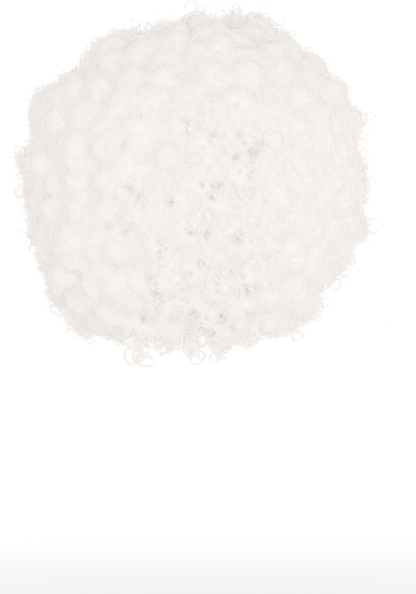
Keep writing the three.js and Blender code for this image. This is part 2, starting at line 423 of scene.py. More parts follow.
# Painted shade: the attribute low (creases, gaps and the top darker, the middle of the back lighter) darkens the colour
# towards the cool grey below.
deep = node(nt, "ShaderNodeAttribute", (-450, 450))
deep.attribute_name = "low"
shade = node(nt, "ShaderNodeMapRange", (-250, 450))
shade.interpolation_type = "SMOOTHSTEP"
shade.inputs["From Min"].default_value, shade.inputs["From Max"].default_value = 2.0, 16.0
painted_shade_mix = node(nt, "ShaderNodeMix", (-50, 250))
painted_shade_mix.data_type = "RGBA"
painted_shade_mix.blend_type = "MULTIPLY"
painted_shade_mix.inputs[7].default_value = (0.6, 0.615, 0.635, 1)
nt.links.new(deep.outputs["Fac"], shade.inputs["Value"])
nt.links.new(shade.outputs["Result"], painted_shade_mix.inputs[0])
nt.links.new(ramp.outputs["Color"], painted_shade_mix.inputs[6])
nt.links.new(painted_shade_mix.outputs[2], b.inputs["Base Color"])
bp = node(nt, "ShaderNodeBump", (-300, -200), Strength=0.5, Distance=0.0004)
nt.links.new(streak.outputs["Fac"], bp.inputs["Height"])
nt.links.new(bp.outputs["Normal"], b.inputs["Normal"])

# The layer below: fine fibres that wind round centres of three sizes.
def maths(nt, how, at, *values):
    n = node(nt, "ShaderNodeMath", at)
    n.operation = how
    for i, v in enumerate(values):
        if isinstance(v, (int, float)):
            n.inputs[i].default_value = v
        else:
            nt.links.new(v, n.inputs[i])
    return n.outputs[0]


under, nt, b = principled("curl_fibre_under", 0.7, glow=0.4)
co = node(nt, "ShaderNodeTexCoord", (-2300, 0))
bend_by = node(nt, "ShaderNodeTexNoise", (-2100, -200), Scale=160.0, Detail=2.0)
nt.links.new(co.outputs["Object"], bend_by.inputs["Vector"])
bent = node(nt, "ShaderNodeVectorMath", (-1900, -100))
bent.operation = "MULTIPLY_ADD"
bent.inputs[1].default_value = (0.006, 0.006, 0.006)
nt.links.new(bend_by.outputs["Color"], bent.inputs[0])
nt.links.new(co.outputs["Object"], bent.inputs[2])
sines = []
for k, (cell, period) in enumerate([(9.5, 2.3), (13.0, 1.7), (6.5, 1.5)]):
    round_at = node(nt, "ShaderNodeTexVoronoi", (-1700, -250 * k), Scale=1000 / cell)
    nt.links.new(bent.outputs["Vector"], round_at.inputs["Vector"])
    turn_ = maths(nt, "MULTIPLY_ADD", (-1450, -250 * k), round_at.outputs["Distance"], 2 * math.pi * cell / period, 1.3 * k)
    sines.append(maths(nt, "SINE", (-1250, -250 * k), turn_))
fine = node(nt, "ShaderNodeTexNoise", (-1250, -800), Scale=800.0, Detail=2.0)
nt.links.new(co.outputs["Object"], fine.inputs["Vector"])
top = maths(nt, "MULTIPLY_ADD", (-900, -100), sines[0], 0.17, fine.outputs["Fac"])
top = maths(nt, "MULTIPLY_ADD", (-750, -100), sines[1], 0.15, top)
top = maths(nt, "MULTIPLY_ADD", (-600, -100), sines[2], 0.12, top)
# the fine rings' height also sets their colour: painted shade in their grooves, lighter on their tops, over a fine
# random tone
ramp = ramp_of(nt, (0.79, 0.77, 0.75), (0.905, 0.89, 0.875), 0.15, 0.85, (-50, 150))
nt.links.new(top, ramp.inputs["Fac"])
# Painted shade: the attribute low (creases, gaps and the top darker, the middle of the back lighter) darkens the colour
# towards the dark grey below.
deep = node(nt, "ShaderNodeAttribute", (-50, 400))
deep.attribute_name = "low"
shade = node(nt, "ShaderNodeMapRange", (150, 400))
shade.interpolation_type = "SMOOTHSTEP"
shade.inputs["From Min"].default_value, shade.inputs["From Max"].default_value = 4.0, 20.0
painted_shade_mix = node(nt, "ShaderNodeMix", (350, 250))
painted_shade_mix.data_type = "RGBA"
painted_shade_mix.blend_type = "MULTIPLY"
painted_shade_mix.inputs[7].default_value = (0.38, 0.4, 0.43, 1)
nt.links.new(deep.outputs["Fac"], shade.inputs["Value"])
nt.links.new(shade.outputs["Result"], painted_shade_mix.inputs[0])
nt.links.new(ramp.outputs["Color"], painted_shade_mix.inputs[6])
nt.links.new(painted_shade_mix.outputs[2], b.inputs["Base Color"])
bp = node(nt, "ShaderNodeBump", (-50, -250), Strength=1.0, Distance=0.0012)
nt.links.new(top, bp.inputs["Height"])
nt.links.new(bp.outputs["Normal"], b.inputs["Normal"])

# ---------------------------------------------------------------- where the curls stand
TRIANGLES = np.concatenate([faces[:, [0, 1, 2]], faces[:, [0, 2, 3]]])


def scatter(points, normals, psis, spacing, count, last=137):
    """Evenly spaced sites: random ones by area, kept where none is nearer than spacing."""
    v, f = points, TRIANGLES
    a, b, c = v[f[:, 0]], v[f[:, 1]], v[f[:, 2]]
    area = np.linalg.norm(np.cross(b - a, c - a), axis=1) / 2
    fpsi = psis[f].mean(1)
    area[fpsi > last] = 0
    pick = rng.choice(len(f), count, p=area / area.sum())
    s, t = rng.random(count), rng.random(count)
    flip = s + t > 1
    s, t = np.where(flip, 1 - s, s), np.where(flip, 1 - t, t)
    w = np.stack([1 - s - t, s, t], 1)
    p = (v[f[pick]] * w[:, :, None]).sum(1)
    n = (normals[f[pick]] * w[:, :, None]).sum(1)
    n /= np.linalg.norm(n, axis=1)[:, None]
    cells, keep = {}, []
    key = np.floor(p / spacing).astype(int)
    near = [(i, j, k) for i in (-1, 0, 1) for j in (-1, 0, 1) for k in (-1, 0, 1)]
    for i in range(count):
        x, y, z = key[i]
        ok = True
        for dx, dy, dz in near:
            for q in cells.get((x + dx, y + dy, z + dz), ()):
                if ((q - p[i]) ** 2).sum() < spacing**2:
                    ok = False
                    break
            if not ok:
                break
        if ok:
            cells.setdefault((x, y, z), []).append(p[i])
            keep.append(i)
    keep = np.array(keep)
    return p[keep], n[keep], fpsi[pick][keep]


def unit_rows(a):
    return a / np.maximum(np.linalg.norm(a, axis=-1, keepdims=True), 1e-9)


def tree_of(points):
    tree = KDTree(len(points))
    for i, v in enumerate(points):
        tree.insert(v, i)
    tree.balance()
    return tree


def evened(sites, points, normals, psis, last=137, rounds=3):
    """Moves each site to the middle of the surface that is nearest to it, a few times over."""
    live = np.flatnonzero(psis < last)
    spread = tree_of(points[live])
    area = np.zeros(len(points))
    f = TRIANGLES
    a = np.linalg.norm(np.cross(points[f[:, 1]] - points[f[:, 0]], points[f[:, 2]] - points[f[:, 0]]), axis=1)
    for k in range(3):
        np.add.at(area, f[:, k], a)
    area = area[live]
    for _ in range(rounds):
        tree = tree_of(sites)
        owner = np.array([tree.find(v)[1] for v in points[live]])
        total = np.bincount(owner, area, len(sites))
        mean = np.stack([np.bincount(owner, area * points[live, k], len(sites)) for k in range(3)], 1)
        sites = np.where(total[:, None] > 0, mean / np.maximum(total, 1e-9)[:, None], sites)
    at = live[[spread.find(v)[1] for v in sites]]
    return points[at], normals[at], psis[at]


def smoothed(values, rounds):
    """Evens out a value at each point of the fine sphere with its neighbours, a few times over."""
    count = np.bincount(faces.ravel(), minlength=len(values))
    for _ in range(rounds):
        mean = values[faces].mean(1)
        values = np.bincount(faces.ravel(), np.repeat(mean, 4), len(values)) / count
    return values


def balls_on(base, base_n, centres, radii, floor, ceiling):
    """How far each point of base rises along its normal to the highest ball over it, in mm."""
    tree = tree_of(base)
    rise = np.full(len(base), floor)
    for at, r in zip(centres, radii):
        near = np.array([i for _, i, _ in tree.find_range(at, r + 7.0)], int)
        if not len(near):
            continue
        v = at - base[near]
        along = (v * base_n[near]).sum(1)
        across2 = (v * v).sum(1) - along**2
        top = np.minimum(along + np.sqrt(np.clip(r * r - across2, 0, None)), ceiling)
        better = (across2 < r * r) & (top > rise[near])
        rise[near[better]] = top[better]
    return rise


# Where the curls part at the back and the mass looks darker, as the curls sink there and their colour gets painted
# shade: place across and up, reach and depth.
GAPS = np.array(
    [
        (6.5, 83.4, 3.2, 9),
        (-40.0, 93.7, 3.2, 9),
        (-16.8, 90.3, 3.6, 7),
        (4.7, 71.4, 2.8, 6),
        (56.3, 92.0, 4.5, 5),
        (78.7, 96.3, 4.0, 5),
        (-15.9, 63.6, 2.6, 8),
        (-19.4, 69.7, 2.6, 8),
        (-23.6, 72.2, 2.6, 8),
        (-27.1, 67.9, 2.6, 6),
        (-9.9, 55.0, 2.6, 8),
        (-41.7, 70.5, 3.6, 11),
        (-53.8, 67.9, 2.6, 8),
        (-45.1, 60.2, 3.4, 11),
        (-58.9, 59.3, 3.0, 10),
        (-40.0, 51.6, 3.0, 10),
        (-52.9, 52.5, 3.6, 13),
        (-52.9, 44.7, 3.0, 8),
        (-53.8, 32.7, 2.8, 11),
        (-43.4, 36.1, 3.0, 8),
        (-11.6, 23.2, 3.2, 14),
        (-22.8, 21.5, 2.8, 13),
        (-35.7, 20.6, 2.4, 10),
        (-18.5, 12.0, 2.8, 13),
        (-66.7, 6.9, 2.8, 9),
        (60.6, 60.2, 2.8, 10),
        (72.7, 58.5, 3.2, 6),
        (55.5, 18.9, 3, 9),
        (52.0, 26.7, 4.2, 5),
        (21.1, 7.7, 2.8, 9),
        (46.9, 12.9, 3.6, 8),
        (42.6, 6.0, 3.4, 6),
        (-60.6, -9.5, 2.8, 7),
        (0.4, -17.2, 3.4, 11),
        (-12.5, -18.9, 3.2, 9),
        (-37.4, -26.7, 3.6, 12),
        (-42.6, -19.8, 3.0, 10),
        (-52.9, -42.1, 3.2, 11),
        (-45.1, -47.3, 2.8, 8),
        (-37.4, -55.0, 3.0, 11),
        (-45.1, -57.6, 2.8, 11),
        (-47.7, -67.9, 2.4, 12),
        (-50.3, -71.4, 2.4, 13),
        (-21.1, -70.5, 3.4, 9),
        (-7.3, -48.2, 3.6, 8),
        (0.4, -55.0, 2.8, 9),
        (27.1, -40.4, 3.2, 9),
        (30.5, -27.5, 4.5, 7),
        (59.8, -19.8, 3.0, 8),
        (53.8, -13.8, 2.8, 8),
        (36.5, -61.1, 3.0, 8),
        (32.2, -72.2, 3.6, 8),
        (27.1, -80.0, 3.0, 8),
        (30.5, -88.6, 3.4, 10),
        (42.6, -94.6, 3.4, 12),
        (-3.0, -90.3, 3.6, 15),
        (1.3, -95.5, 3.4, 15),
        (3.0, -107.5, 3.2, 13),
        (-9.9, -102.3, 2.6, 12),
        (-6.5, -110.9, 2.6, 12),
        (-15.9, -108.4, 2.6, 11),
        (-12.5, -95.5, 2.4, 9),
        (-17.6, -82.6, 2.6, 8),
        (11.6, -86.0, 2.8, 7),
        (4.7, -78.3, 2.6, 7),
        (-27.9, -72.2, 2.8, 8),
        (20.2, -61.1, 2.6, 8),
        (6.5, -57.6, 2.6, 8),
        (-23.6, -98.9, 3.0, 14),
        (-28.8, -94.6, 2.8, 12),
        (-35.7, -103.2, 3.2, 14),
        (17.6, -93.7, 2.6, 9),
        (-48.6, -89.4, 3.0, 8),
        (52.9, -108.4, 3.6, 12),
        (73.5, -12.9, 2.8, 7),
        (-90.7, 40.4, 4.5, 5),
        (-77.0, -22.4, 5.0, 5),
        (-72.7, -65.4, 5.5, 6),
    ],
    float,
)


def as_seen(p):
    """Places across and up at which the camera sees p, in mm on the plane of the outline."""
    axis = np.array([cam.location[0], cam.location[2]]) * 1000
    grow = CAMERA_AT * 1000 / (CAMERA_AT * 1000 - p[:, 1])
    return axis + (p[:, [0, 2]] - axis) * grow[:, None]


def gap_depth(p, grow=1.0):
    """How deep the nearest gap is at p, in mm."""
    deep, at = np.zeros(len(p)), as_seen(p)
    for x, z, reach, depth in GAPS:
        d2 = (at[:, 0] - x) ** 2 + (at[:, 1] - z) ** 2
        deep = np.maximum(deep, depth * np.exp(-d2 / (reach * grow) ** 2))
    return np.where(p[:, 1] > 0, deep, 0)


def crispness(p):
    """1 low in the middle of the back, where single strands show best and the painted shade is lighter, and 0 far from
    there.
    """
    at = as_seen(p)
    d2 = ((at[:, 0] + 5) / 70) ** 2 + ((at[:, 1] + 35) / 80) ** 2
    return np.exp(-d2) * (p[:, 1] > 0)


def puff_shade_at(p):
    """How strongly the painted shade of the puffs shows: fully in the middle of the back, less towards the outline."""
    at = as_seen(p)
    d2 = ((at[:, 0] + 5) / 105) ** 2 + ((at[:, 1] + 5) / 115) ** 2
    return 1 - (1 - firmness(p)) * 0.7 * (1 - np.exp(-d2))


def firmness(p):
    """1 at the sides and the front, where the curls are as firm as in the outline, to 0 at the back."""
    return 1 - smooth_step(p[:, 1], 0, 60)


def top_shade(p):
    """Painted shade: the top is coloured darker, as if it got less light."""
    return 4.5 * smooth_step(p[:, 2], 60, 150)


def dipped(paths):
    """Strands sink where they cross a gap."""
    q = paths.reshape(-1, 3)
    return (q - unit_rows(q) * (0.5 * gap_depth(q))[:, None]).reshape(paths.shape)


# Curls gather in round puffs. Each puff is a ball whose middle lies below the envelope.
PUFF_SPACING, PUFF_CREASE, SWELL = 23.0, -4.5, 4.5
puff, puff_n, puff_psi = scatter(skin, skin_n, psi_deg, PUFF_SPACING, 9000)
puff, puff_n, puff_psi = evened(puff, skin, skin_n, psi_deg, rounds=1)
puff_r = rng.uniform(13.0, 20.5, len(puff)) * (1 - 0.3 * smooth_step(puff_psi, 120, 137))
puff_c = puff - puff_n * (puff_r - rng.uniform(0.8, 4.2, len(puff)))[:, None]
swell = balls_on(skin, skin_n, puff_c, puff_r, PUFF_CREASE, SWELL) * (1 - smooth_step(psi_deg, 126, 139))
soft = skin + skin_n * swell[:, None]
soft_n = unit_rows(vertex_normals(soft, faces) + 0.8 * skin_n)

# Each curl is a small ball on the puffs, wound round with strands.
CURL_SPACING = 8.9
SUNK = 2.2  # the under layer lies this far inside the strands
curl, curl_n, curl_psi = scatter(soft, soft_n, psi_deg, CURL_SPACING, 60000)
curl, curl_n, curl_psi = evened(curl, soft, soft_n, psi_deg)
curl_r = rng.uniform(6.2, 9.0, len(curl)) * (1 - 0.2 * smooth_step(curl_psi, 120, 137))
curl_out = rng.normal(0, 1.0, len(curl)).clip(-2.2, 2.2)
curl_c = curl - curl_n * (curl_r - 0.3 - curl_out)[:, None]
wound = gap_depth(curl) < 6.5
# painted shade of each curl's strands: how far it lies below the tops of the puffs, more at the top and in the gaps and
# less low in the middle of the back
soft_tree = tree_of(soft)
curl_painted_shade = (SWELL - swell[[soft_tree.find(v)[1] for v in curl]] - curl_out) * puff_shade_at(curl)
curl_painted_shade += 0.4 * gap_depth(curl) + top_shade(curl) - 4.0 * crispness(curl)
curl_painted_shade *= 1 - smooth_step(curl_psi, 120, 137)
curl_c -= curl_n * (0.6 * gap_depth(curl))[:, None]
rise = smoothed(balls_on(soft, soft_n, curl_c, curl_r - SUNK, -6.0, 2.0), 2)
fade = 1 - smooth_step(psi_deg, 128, 139)
core = soft + soft_n * ((0.45 * rise - 1.6 - 0.7 * gap_depth(soft)) * fade)[:, None]
# most curls are more or less open in the middle
core_tree = tree_of(core)
opened = rng.uniform(0.0, 2.6, len(curl))
dimple = np.zeros(len(core))
for at, n, r, deep in zip(curl_c, curl_n, curl_r, opened):
    tip = at + n * (r - SUNK)
    near = np.array([i for _, i, _ in core_tree.find_range(tip, 4.5)], int)
    if len(near):
        d = np.linalg.norm(core[near] - tip, axis=1)
        dimple[near] = np.maximum(dimple[near], deep * np.exp(-((d / 2.6) ** 2)))
core -= soft_n * (dimple * (1 - smooth_step(psi_deg, 128, 139)))[:, None]
# painted shade: how far each point lies below the tops of the puffs and curls, more at the top and in the gaps and less
# low in the middle of the back; the under layer's colour is darkened by it
low = 2.0 + (0.5 * (SWELL - swell) - 0.7 * rise) * puff_shade_at(soft) + top_shade(soft)
# painted light: the colour is lighter low in the middle of the back
low -= 2.0 * crispness(soft)
low *= 1 - smooth_step(psi_deg, 120, 137)
# more painted shade in the gaps
low += (1.2 + 0.6 * crispness(soft)) * gap_depth(soft, 1.1)
print("puffs", len(puff), "curls", len(curl))
print("low", np.percentile(low[psi_deg < 120], [1, 10, 50, 90, 99]).round(1))

core_o = new_object(
    "curls_under", core / 1000, faces.ravel(), np.arange(len(faces)) * 4, np.full(len(faces), 4)
)
# the painted shade goes to the material as the attribute low
core_o.data.attributes.new("low", "FLOAT", "POINT").data.foreach_set("value", low.astype(np.float32))
core_o.data.materials.append(under)
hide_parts("curl_mass")
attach(core_o, "root")
print("curls_under", 2 * len(faces))


# ---------------------------------------------------------------- strands as joined tubes
def tubes(paths, radius, sides=3):
    """Closed tubes along paths (k, m, 3), all with m points. radius is (k, m). Returns arrays."""
    k, m, _ = paths.shape
    t = np.gradient(paths, axis=1)
    t /= np.maximum(np.linalg.norm(t, axis=2, keepdims=True), 1e-9)
    # a frame that turns with the path: the second difference points into each bend
    bend = np.gradient(t, axis=1)
    bend = bend - (bend * t).sum(2, keepdims=True) * t
    length = np.linalg.norm(bend, axis=2, keepdims=True)
    side = np.cross(t, np.array([0.31, 0.52, 0.79]))
    bend = np.where(length > 1e-6, bend / np.maximum(length, 1e-9), side)
    bend /= np.maximum(np.linalg.norm(bend, axis=2, keepdims=True), 1e-9)
    other = np.cross(t, bend)
    ang = np.arange(sides) * 2 * math.pi / sides
    ring = bend[:, :, None, :] * np.cos(ang)[None, None, :, None] + other[:, :, None, :] * np.sin(ang)[None, None, :, None]
    v = paths[:, :, None, :] + ring * radius[:, :, None, None]
    v = v.reshape(-1, 3)
    base = (np.arange(k) * m * sides)[:, None, None]
    i = (np.arange(m - 1) * sides)[None, :, None]
    j = np.arange(sides)[None, None, :]
    j2 = (j + 1) % sides
    q = np.stack([base + i + j, base + i + j2, base + i + sides + j2, base + i + sides + j], -1)
    q = q.reshape(-1, 4)
    ends = base[:, 0, :]
    first = ends + np.arange(sides)[None, ::-1]
    last = ends + (m - 1) * sides + np.arange(sides)[None, :]
    caps = np.concatenate([first, last]).astype(int)
    # lengthwise in mm, each strand from a start of its own, and once round
    step = np.linalg.norm(np.diff(paths, axis=1), axis=2)
    run = np.concatenate([np.zeros((k, 1)), np.cumsum(step, axis=1)], 1) + rng.uniform(0, 900, (k, 1))
    lane = rng.integers(0, 90, (k, 1, 1))
    u0, u1 = run[:, :-1, None] + 0 * j, run[:, 1:, None] + 0 * j
    v0, v1 = lane + (j + 0 * i) / sides, lane + (j + 1 + 0 * i) / sides
    uv = np.stack([np.stack([u0, v0 + 0 * u0], -1), np.stack([u0, v1 + 0 * u0], -1), np.stack([u1, v1 + 0 * u0], -1), np.stack([u1, v0 + 0 * u0], -1)], -2)
    return v, q, caps, uv.reshape(-1, 2)


def strands_object(name, parts, material, painted_shades=None):
    """Joins the arrays of tubes into one object. painted_shades has how much painted shade each part's strands get, in
    mm, as if that deep below the tops of the puffs.
    """
    vs, loops, totals, uvs, off = [], [], [], [], 0
    for v, q, caps, uv in parts:
        vs.append(v)
        uvs += [uv, np.zeros((caps.size, 2))]
        loops += [(q + off).ravel(), (caps + off).ravel()]
        totals += [np.full(len(q), 4), np.full(len(caps), caps.shape[1])]
        off += len(v)
    totals = np.concatenate(totals)
    starts = np.concatenate([[0], np.cumsum(totals)[:-1]])
    o = new_object(
        name, np.concatenate(vs) / 1000, np.concatenate(loops), starts, totals, np.concatenate(uvs)
    )
    o.data.materials.append(material)
    if painted_shades is not None:
        # painted shade for the material, as the attribute low, with more where strands cross a gap
        deep = np.concatenate([np.repeat(d, len(part[0]) // max(len(d), 1)) for d, part in zip(painted_shades, parts)])
        deep = deep + 0.5 * gap_depth(np.concatenate(vs))
        o.data.attributes.new("low", "FLOAT", "POINT").data.foreach_set("value", deep.astype(np.float32))
    return o, int((totals - 2).sum())


def windings(centre, n, r, strands, steps, strand, from_side=False):
    """Strands wound on balls round an axis: rings where the curl is seen from its end, and arcs
    over its top where it is seen from the side. strand is each ball's strand radius."""
    k = len(centre)
    lean = rng.uniform(0.75, 1.5, k) if from_side else np.abs(rng.normal(0, 0.35, k)).clip(0, 0.8)
    rand = unit_rows(rng.normal(size=(k, 3)))
    tangent = unit_rows(rand - (rand * n).sum(1, keepdims=True) * n)
    axis = unit_rows(n * np.cos(lean)[:, None] + tangent * np.sin(lean)[:, None])
    u = unit_rows(n - (n * axis).sum(1, keepdims=True) * axis + 1e-4 * rand)
    w = np.cross(axis, u)
    hand = np.where(rng.random((k, 1)) < 0.5, -1.0, 1.0)
    s = np.linspace(0, 1, steps)[None, :]
    paths, radii = [], []
    for _ in range(strands):
        if from_side:
            polar = lean[:, None] + rng.uniform(-0.95, 0.8, (k, 1))
            ang = rng.normal(0, 0.4, (k, 1)) + hand * rng.uniform(1.9, 3.1, (k, 1)) * (s - 0.5)
        else:
            polar = 0.1 + 1.15 * np.sqrt(rng.random((k, 1)))
            ang = rng.uniform(0, 6.28, (k, 1)) + hand * 2 * math.pi * rng.uniform(0.55, 1.05, (k, 1)) * s
        polar = polar + rng.normal(0, 0.45, (k, 1)) * (s - 0.5)
        polar = polar + 0.08 * np.sin(6 * s + rng.uniform(0, 6.28, (k, 1)))
        # each end of a strand dives under its neighbours
        dive = 1.6 * (np.clip(0.14 - s, 0, None) + np.clip(s - 0.86, 0, None)) / 0.14
        high = r[:, None] + rng.gamma(1.4, 0.62, (k, 1)) - 0.5 - dive
        high = high + 0.3 * np.sin(5 * s + rng.uniform(0, 6.28, (k, 1)))
        q = (
            centre[:, None, :]
            + axis[:, None, :] * (high * np.cos(polar))[:, :, None]
            + u[:, None, :] * (high * np.sin(polar) * np.cos(ang))[:, :, None]
            + w[:, None, :] * (high * np.sin(polar) * np.sin(ang))[:, :, None]
        )
        paths.append(q)
        thick = np.reshape(strand, (-1, 1)) * rng.uniform(0.7, 1.3, (k, 1))
        radii.append(thick * (0.5 + 0.5 * np.clip(np.minimum(s, 1 - s) * 8, 0, 1)))
    return np.concatenate(paths), np.concatenate(radii)


def region_of(p):
    """Six pieces of about the same size: crown, upper and lower back, front, left and right."""
    d = unit_rows(p)
    r = np.full(len(p), 4)
    r[(d[:, 0] < 0)] = 5
    r[(d[:, 1] > 0.55)] = 1
    r[(d[:, 1] > 0.45) & (d[:, 2] < -0.05)] = 2
    r[(d[:, 1] < -0.35)] = 3
    r[(d[:, 2] > 0.72)] = 0
    return r


def loops(p, n, radius, rise, turns, steps, strand, facing=None):
    """Loose loops that stand on p and stick out by rise."""
    k = len(p)
    rand = unit_rows(rng.normal(size=(k, 3)) * (1 if facing is None else 0.35) + (0 if facing is None else facing))
    side = unit_rows(rand - (rand * n).sum(1, keepdims=True) * n)
    axis = unit_rows(side + n * rng.normal(0, 0.45, (k, 1)))
    u = unit_rows(n - (n * axis).sum(1, keepdims=True) * axis)
    w = np.cross(axis, u)
    s = np.linspace(0, 1, steps)[None, :]
    ang = (s - 0.5) * 2 * math.pi * turns[:, None] + rng.normal(0, 0.35, (k, 1))
    wide = radius[:, None] * (1 + 0.12 * np.sin(3 * ang + rng.uniform(0, 6.28, (k, 1))))
    c = p + n * (rise - radius)[:, None]
    q = (
        c[:, None, :]
        + u[:, None, :] * (wide * np.cos(ang))[:, :, None]
        + w[:, None, :] * (wide * rng.uniform(0.7, 1.1, (k, 1)) * np.sin(ang))[:, :, None]
        + axis[:, None, :] * (rng.normal(0, 2.2, (k, 1)) * (s - 0.5) * 2)[:, :, None]
    )
    return q, np.full((k, steps), strand) * rng.uniform(0.75, 1.2, (k, 1))


def open_curls(rows):
    """Curls at the back that are seen from their end: place across and up, radius, strands."""
    paths = []
    at = as_seen(soft)
    for x, z, r, strands in rows:
        far = np.where(soft[:, 1] > 0, (at[:, 0] - x) ** 2 + (at[:, 1] - z) ** 2, 1e9)
        i = int(np.argmin(far))
        n = unit_rows(soft_n[i] + np.array([0, 0.9, 0]))
        u = unit_rows(np.cross(n, np.array([0.1, 0.2, 1.0])))
        w = np.cross(n, u)
        k, m = int(strands), 24
        s = np.linspace(0, 1, m)[None, :]
        way, start = rng.choice([-1, 1]), rng.uniform(0, 6.28)
        ang = start + rng.normal(0, 0.9, (k, 1)) + way * 2 * math.pi * rng.uniform(0.85, 1.35, (k, 1)) * s
        wide = r * rng.normal(0.95, 0.1, (k, 1)) * (1 - 0.18 * s + 0.05 * np.sin(3 * ang + start))
        squash, turned = rng.uniform(0.78, 1.0), rng.uniform(0, 3.1)
        a, b = wide * np.cos(ang), wide * np.sin(ang) * squash
        a, b = a * math.cos(turned) - b * math.sin(turned), a * math.sin(turned) + b * math.cos(turned)
        # the ring leans, and each end dives among the curls
        dive = 3.2 * (np.clip(0.12 - s, 0, None) + np.clip(s - 0.88, 0, None)) / 0.12
        high = 2.3 + rng.normal(0, 0.12) * a + rng.uniform(-0.6, 0.9, (k, 1)) - dive
        q = soft[i] + u * a[:, :, None] + w * b[:, :, None] + n * high[:, :, None]
        paths.append(q)
    paths = np.concatenate(paths)
    return paths, np.full(paths.shape[:2], 0.5) * rng.uniform(0.75, 1.25, (len(paths), 1))


# Loops that stick out of the outline at the back: clock bearing as seen, and how far out.
STRAY = [
    (346, 8),
    (353, 9),
    (0, 11),
    (12, 6),
    (24, 9),
    (41, 6),
    (60, 7),
    (72, 8),
    (84, 6),
    (96, 9),
    (108, 6),
    (114, 10),
    (126, 7),
    (138, 9),
    (150, 7),
    (211, 8),
    (217, 7),
    (235, 6),
    (258, 8),
    (276, 9),
    (288, 9),
    (306, 7),
    (330, 7),
    (338, 8),
]
stray_p, stray_n, stray_out = [], [], []
curl_tree = tree_of(curl)
for bearing, out in STRAY:
    for _ in range(5):
        t = math.radians(bearing + rng.normal(0, 2.0))
        d = np.array([[-math.sin(t), rng.normal(0, 0.06), math.cos(t)]])
        aim = (d * outer_radius(unit_rows(d))[:, None])[0]
        i = curl_tree.find(aim)[1]
        stray_p.append(curl[i])
        stray_n.append(unit_rows(curl_n[i] + 1.2 * d[0]))
        stray_out.append(out * rng.uniform(0.6, 1.1) + 1.5)
stray_p, stray_n, stray_out = np.array(stray_p), np.array(stray_n), np.array(stray_out)

OPEN = np.array(
    [
        (-41.7, 53.3, 5.2, 4),
        (-65.8, 42.1, 6.9, 5),
        (-48.6, 18.9, 9.9, 6),
        (35.7, 18.9, 6.9, 5),
        (-3.9, 44.7, 6.5, 4),
        (-47.7, -69.7, 6.0, 6),
        (22.8, -31.0, 4.3, 4),
        (52.9, -95.5, 5.6, 5),
        (-71.8, 61.9, 9.5, 3),
        (7.3, -43.0, 7.7, 3),
        (75.2, 53.3, 5.2, 4),
        (-26.2, 53.3, 6.9, 4),
        (-86.4, 39.6, 6.0, 4),
        (-89.9, 14.6, 6.5, 5),
        (-76.1, -2.6, 8.2, 4),
        (-33.1, 37.8, 8.6, 4),
        (18.5, 29.2, 6.9, 4),
        (-13.3, 5.2, 5.2, 4),
        (-18.5, -62.8, 6.0, 5),
        (16.8, -71.4, 6.5, 5),
        (9.9, -67.1, 5.2, 4),
        (-60.6, -80.0, 7.3, 4),
        (61.5, -58.5, 7.3, 4),
        (49.4, -32.7, 6.9, 4),
        (73.5, -29.2, 6.0, 3),
        (24.5, 44.7, 6.9, 3),
        (-3.9, 72.2, 6.0, 4),
        (31.4, -80.8, 5.2, 4),
        (-15.9, -2.6, 5.6, 4),
        (-20.2, -28.4, 6.5, 3),
        (44.3, -75.7, 6.9, 3),
        (-50.3, -101.5, 6.9, 5),
        (68.4, -94.6, 6.0, 4),
        (1.3, 96.3, 6.0, 3),
        (-17.6, 98.9, 4.3, 4),
        (-93.3, -92.9, 5.2, 3),
    ]
)
open_paths, open_radii = open_curls(OPEN)
open_at = region_of(open_paths.mean(1))

names = ["curls_crown", "curls_back_high", "curls_back_low", "curls_front", "curls_left", "curls_right"]
region = region_of(curl)
from_side = rng.random(len(curl)) < 0.55
thick = 0.25 + 0.2 * crispness(curl) + 0.15 * firmness(curl)
loop_thick = thick + 0.06
total = 0
for r, name in enumerate(names):
    parts, painted_shades = [], []
    for pick, strands, steps, side in [
        (wound & ~from_side, 5, 12, False),
        (wound & from_side, 6, 8, True),
        (~wound, 2, 11, False),
    ]:
        pick = pick & (region == r)
        if pick.any():
            paths, radii = windings(curl_c[pick], curl_n[pick], curl_r[pick], strands, steps, thick[pick], side)
            parts.append(tubes(dipped(paths), radii))
            painted_shades.append(np.tile(curl_painted_shade[pick], strands))
    loose = np.flatnonzero((region == r) & wound & (curl_psi < 128) & (rng.random(len(curl)) < 0.35 + 0.5 * crispness(curl) + 0.2 * firmness(curl)))
    k = len(loose)
    wide, out, turns = rng.uniform(3.6, 7.5, k), rng.gamma(2.2, 1.3, k) + 1.0, rng.uniform(0.6, 1.1, k)
    paths, radii = loops(curl[loose], curl_n[loose], wide, out, turns, 13, loop_thick[loose][:, None])
    parts.append(tubes(dipped(paths), radii))
    painted_shades.append(np.zeros(k))
    own = region_of(stray_p) == r
    k = int(own.sum())
    if k:
        wide, turns = rng.uniform(4.2, 7.0, k), rng.uniform(0.8, 1.15, k)
        for shift in (0.0, 0.8):
            stray = loops(
                stray_p[own], stray_n[own], wide - shift, stray_out[own] - shift, turns, 15, 0.42, np.array([0, 1.0, 0])
            )
            parts.append(tubes(*stray))
            painted_shades.append(np.zeros(k))
    own = open_at == r
    if own.any():
        parts.append(tubes(dipped(open_paths[own]), open_radii[own]))
        painted_shades.append(np.zeros(int(own.sum())))
    o, tris = strands_object(name, parts, fibre, painted_shades)
    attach(o, "root")
    total += tris
    print(name, int((region == r).sum()), k, tris)
print("strand triangles", total)

